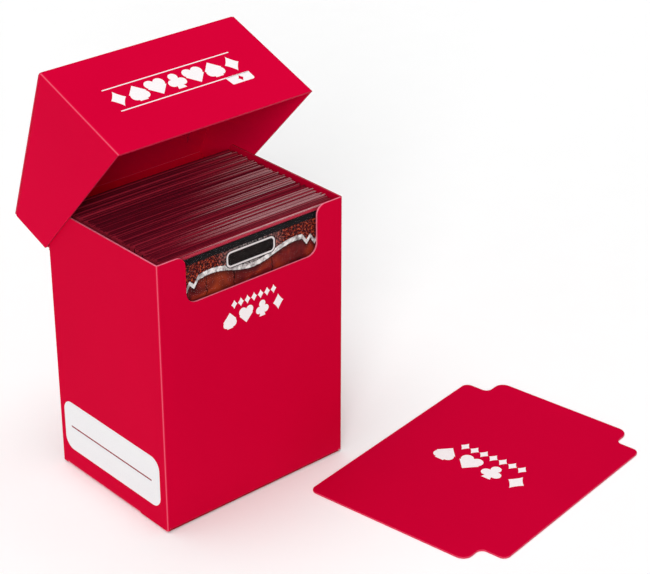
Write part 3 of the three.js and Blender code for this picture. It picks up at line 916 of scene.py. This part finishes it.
# films: pigment, two painted shades for a shut mouth, one painted highlight for an open mouth
red_shades = ("#bc2a42", ("#48081a", "#ac1c38"), "#f8c4c8")
clear_shades = ("#5d5557", ("#3a0a12", "#a02c3e"), "#f4d8da")
red_film = sleeve_film("cast_polypropylene_film_red", *red_shades, 1.0, roughness=0.3, gloss=0.12)
clear_film = sleeve_film("cast_polypropylene_film_clear", *clear_shades, 0.02, roughness=0.25, gloss=0.08)
packs = [f"card_pack_{n}" for n in range(1, 9)]
backs = standing(others, FILM + CARD + 0.01, FILM, *sleeve_size)
fronts = standing(others, 0, FILM, *sleeve_size)
cards = standing(others, FILM + 0.005, CARD, *card_size)
front_back = standing(front_one, FILM + CARD + 0.06, FILM, *sleeve_size)
front_front = standing(front_one, 0, FILM, *sleeve_size)
piece("sleeve_backs", backs, [red_film], "box", packs)
piece("sleeve_fronts", fronts, [clear_film], "box")
piece("deck_of_cards", cards, [card_stock()], "box")
piece("front_sleeve_back", front_back, [red_film], "box", ["front_card_sleeve"])
piece("front_sleeve_front", front_front, [clear_film], "box")

# ---- The front card -----------------------------------------------------------------------------------
# The card that shows in the notch: coated board with a black border, a mottled band, a blank name plate and
# a silver ribbon over a marbled field. The picture is plain ornament.

BORDER_TOP, BORDER_SIDE = 2.1, 29.0
RIBBON_LEVEL, RIBBON_WAVE, RIBBON_BEND = 8.35, 1.6, 0.19
CURL_FROM, CURL_WIDTH, CURL_SLOPE = 20.3, 1.6, 1.25
EMBER_X = -12.5
CRACKS, CRACK_WANDER, CRACK_WIDE = (-16.1, -5.5, 9.4), 2.4, 0.16
PLATE_LEVEL, PLATE_HALF, PLATE_RISE = 5.55, 7.6, 0.85
PLATE_RINGS = [(2.1, "#1a1214"), (1.8, "#e2dcdc"), (1.2, "#120d0b")]


def card_face():
    """Coated, offset-printed card: satin, with ink that lies in mottles of 0.7 mm.

    Every shape is worked out in millimetres from x, from side = |x| and from down, the depth below the top.
    """
    material, tree, place = blank_material("offset_printed_card")
    axes = add(tree, "SeparateXYZ", {"Vector": place}).outputs
    x = add(tree, "Math", {0: axes["X"], 1: 1 / MM, 2: -shift[0]}, operation="MULTIPLY_ADD")
    down = add(tree, "Math", {0: axes["Z"], 1: -1 / MM, 2: CARD_FLOOR + CARD_TOP}, operation="MULTIPLY_ADD")
    side = add(tree, "Math", {0: x}, operation="ABSOLUTE")
    cloud = add(tree, "TexNoise", {"Vector": place, "Scale": every(9.09), "Detail": 6.0, "Distortion": 0.8})
    wander = add(tree, "TexNoise", {"Vector": place, "Scale": every(1.667), "Detail": 2.0})
    glint = add(tree, "TexNoise", {"Vector": place, "Scale": every(1.4286), "Detail": 4.0})
    speck = add(tree, "TexNoise", {"Vector": place, "Scale": every(0.6667), "Detail": 4.0})

    # ribbon: its middle is 8.35 mm + 1.6 mm cos 0.19 (x - 0.8) below the top, with two points at each end
    bend = add(tree, "Math", {0: x, 1: 0.8}, operation="SUBTRACT")
    bend = add(tree, "Math", {0: bend, 1: RIBBON_BEND}, operation="MULTIPLY")
    bend = add(tree, "Math", {0: bend}, operation="COSINE")
    middle = add(tree, "Math", {0: bend, 1: RIBBON_WAVE, 2: RIBBON_LEVEL}, operation="MULTIPLY_ADD")
    past = add(tree, "Math", {0: side, 1: CURL_FROM}, operation="SUBTRACT")
    past = add(tree, "Math", {0: past, 1: 0.0}, operation="MAXIMUM")
    curl = add(tree, "Math", {0: past, 1: CURL_WIDTH}, operation="PINGPONG")
    middle = add(tree, "Math", {0: curl, 1: CURL_SLOPE, 2: middle}, operation="MULTIPLY_ADD")
    from_ribbon = add(tree, "Math", {0: down, 1: middle}, operation="SUBTRACT")

    # marbled field: dark red with an orange patch left of the middle, cracked, and dark under the ribbon
    field = add(tree, "ValToRGB", {"Fac": cloud}, [(0.3, "#330b0e"), (0.5, "#701517"), (0.72, "#a8361a")])
    ember = add(tree, "ValToRGB", {"Fac": cloud}, [(0.3, "#561410"), (0.7, "#a83c1a")])
    warm = add(tree, "Math", {0: x, 1: EMBER_X}, operation="SUBTRACT")
    warm = add(tree, "Math", {0: warm}, operation="ABSOLUTE")
    warm = add(tree, "Math", {0: warm, 1: -0.13, 2: 1.15}, operation="MULTIPLY_ADD", use_clamp=True)
    field = add(tree, "Mix", {"Factor": warm, 6: field, 7: ember}, data_type="RGBA")
    crooked = add(tree, "Math", {0: wander, 1: CRACK_WANDER, 2: x}, operation="MULTIPLY_ADD")
    for crack in CRACKS:
        line = add(tree, "Math", {0: crooked, 1: crack, 2: CRACK_WIDE}, operation="COMPARE")
        field = add(tree, "Mix", {"Factor": line, 6: field, 7: linear("#160506")}, data_type="RGBA")
    shade = add(tree, "Math", {0: from_ribbon, 1: -0.45, 2: 1.35}, operation="MULTIPLY_ADD", use_clamp=True)
    shade = add(tree, "Math", {0: shade, 1: 0.85}, operation="MULTIPLY")
    field = add(tree, "Mix", {"Factor": shade, 6: field, 7: linear("#120506")}, data_type="RGBA")

    # mottled band above the ribbon, grey towards the middle
    band = add(tree, "ValToRGB", {"Fac": speck}, [(0.42, "#12070a"), (0.52, "#5e0f11"), (0.66, "#c04c26")])
    grey_band = add(tree, "ValToRGB", {"Fac": speck}, [(0.4, "#140c0e"), (0.66, "#a09492")])
    central = add(tree, "Math", {0: side, 1: -0.1, 2: 1.35}, operation="MULTIPLY_ADD", use_clamp=True)
    band = add(tree, "Mix", {"Factor": central, 6: band, 7: grey_band}, data_type="RGBA")

    # the ribbon is silver, about 1.6 mm wide with a ragged edge, between the band and the field
    below = add(tree, "Math", {0: from_ribbon, 1: 0.0}, operation="GREATER_THAN")
    picture = add(tree, "Mix", {"Factor": below, 6: band, 7: field}, data_type="RGBA")
    half = add(tree, "Math", {0: speck, 1: 0.5, 2: 0.55}, operation="MULTIPLY_ADD")
    off = add(tree, "Math", {0: from_ribbon}, operation="ABSOLUTE")
    on_ribbon = add(tree, "Math", {0: off, 1: half}, operation="LESS_THAN")
    silver = add(tree, "ValToRGB", {"Fac": glint}, [(0.35, "#8f8887"), (0.6, "#f2eeec")])
    picture = add(tree, "Mix", {"Factor": on_ribbon, 6: picture, 7: silver}, data_type="RGBA")

    # plate: a rounded bar, black inside a pale line, by the distance from its core
    out_x = add(tree, "Math", {0: side, 1: PLATE_HALF}, operation="SUBTRACT")
    out_x = add(tree, "Math", {0: out_x, 1: 0.0}, operation="MAXIMUM")
    out_z = add(tree, "Math", {0: down, 1: PLATE_LEVEL}, operation="SUBTRACT")
    out_z = add(tree, "Math", {0: out_z}, operation="ABSOLUTE")
    out_z = add(tree, "Math", {0: out_z, 1: PLATE_RISE}, operation="SUBTRACT")
    out_z = add(tree, "Math", {0: out_z, 1: 0.0}, operation="MAXIMUM")
    squared = add(tree, "Math", {0: out_z, 1: out_z}, operation="MULTIPLY")
    squared = add(tree, "Math", {0: out_x, 1: out_x, 2: squared}, operation="MULTIPLY_ADD")
    away = add(tree, "Math", {0: squared}, operation="SQRT")
    for reach, colour in PLATE_RINGS:
        ring = add(tree, "Math", {0: away, 1: reach}, operation="LESS_THAN")
        picture = add(tree, "Mix", {"Factor": ring, 6: picture, 7: linear(colour)}, data_type="RGBA")

    # border
    at_top = add(tree, "Math", {0: down, 1: BORDER_TOP}, operation="LESS_THAN")
    at_side = add(tree, "Math", {0: side, 1: BORDER_SIDE}, operation="GREATER_THAN")
    border = add(tree, "Math", {0: at_top, 1: at_side}, operation="MAXIMUM")
    colour = add(tree, "Mix", {"Factor": border, 6: picture, 7: linear("#101113")}, data_type="RGBA")
    look = {"Base Color": colour, "Roughness": 0.4, "Specular IOR Level": 0.06}
    add(tree, "OutputMaterial", {"Surface": add(tree, "BsdfPrincipled", look)})
    return material


front_card = standing(front_one, FILM + 0.03, CARD, *card_size)
piece("ornamented_card", front_card, [card_face()], "box", ["front_card"])

# ---- The studio ---------------------------------------------------------------------------------------
# A matt white floor under three soft lights: a fill from the viewer's side, a wide one overhead and a weak
# one from the left. The surround is white and dim, and a little brighter at the horizon.

FLOOR_HALF, FLOOR_LEVEL = 3.0, -0.00005


def studio_floor():
    """Matt white board, with a cloudiness of some centimetres that is almost too faint to see."""
    material, tree, place = blank_material("matt_white_studio_floor")
    cloud = add(tree, "TexNoise", {"Vector": place, "Scale": every(16.67), "Detail": 2.0})
    shades = {"Factor": cloud, 6: linear("#fdfdfd"), 7: linear("#ffffff")}
    colour = add(tree, "Mix", shades, data_type="RGBA")
    look = {"Base Color": colour, "Roughness": 1.0, "Specular IOR Level": 0.0}
    add(tree, "OutputMaterial", {"Surface": add(tree, "BsdfPrincipled", look)})
    return material


def soft_light(name, toward, strength, spread):
    """A distant light of even strength, as wide as a softbox that spans that many degrees."""
    lamp = bpy.data.lights.new(name, "SUN")
    lamp.energy = strength
    lamp.angle = math.radians(spread)
    holder = bpy.data.objects.new(name, lamp)
    holder.rotation_euler = Vector(toward).to_track_quat("Z", "Y").to_euler()
    bpy.context.scene.collection.objects.link(holder)


floor_mesh = bpy.data.meshes.new("floor")
floor_corners = [(x * FLOOR_HALF, y * FLOOR_HALF, 0) for x, y in ((-1, -1), (1, -1), (1, 1), (-1, 1))]
floor_mesh.from_pydata(floor_corners, [], [(0, 1, 2, 3)])
floor_mesh.materials.append(studio_floor())
floor = bpy.data.objects.new("floor", floor_mesh)
bpy.context.scene.collection.objects.link(floor)
floor.location.z = FLOOR_LEVEL

world = bpy.data.worlds.new("even_surround")
world.use_nodes = True
background = world.node_tree.nodes["Background"]
background.inputs["Color"].default_value = (1, 1, 1, 1)
direction = add(world.node_tree, "TexCoord").outputs["Generated"]
height = add(world.node_tree, "SeparateXYZ", {"Vector": direction}).outputs["Z"]
sweep = add(world.node_tree, "MapRange", {"Value": height, "From Max": 0.5, "To Min": 0.25, "To Max": 0.12})
world.node_tree.links.new(sweep.outputs[0], background.inputs["Strength"])
bpy.context.scene.world = world

soft_light("left_softbox", (-1.0, -0.1, 0.2), 0.14, 40)
soft_light("fill_softbox", (-0.64, -0.65, 0.41), 1.72, 26)
soft_light("overhead_softbox", (-0.05, 0.1, 1.0), 2.05, 60)

camera = bpy.data.cameras.new("camera")
camera.sensor_width = 36
camera.lens = 110.16
camera.clip_start, camera.clip_end = 0.01, 20
camera_object = bpy.data.objects.new("camera", camera)
azimuth, elevation = math.radians(-41.4413), math.radians(27.7096)
level = math.cos(elevation)
back = Vector((math.sin(azimuth) * level, -math.cos(azimuth) * level, math.sin(elevation)))
camera_object.location = (-0.336178, -0.441258, 0.353101)
camera_object.rotation_euler = back.to_track_quat("Z", "Y").to_euler()
bpy.context.scene.collection.objects.link(camera_object)
bpy.context.scene.camera = camera_object
bpy.context.scene.view_settings.view_transform = "Standard"
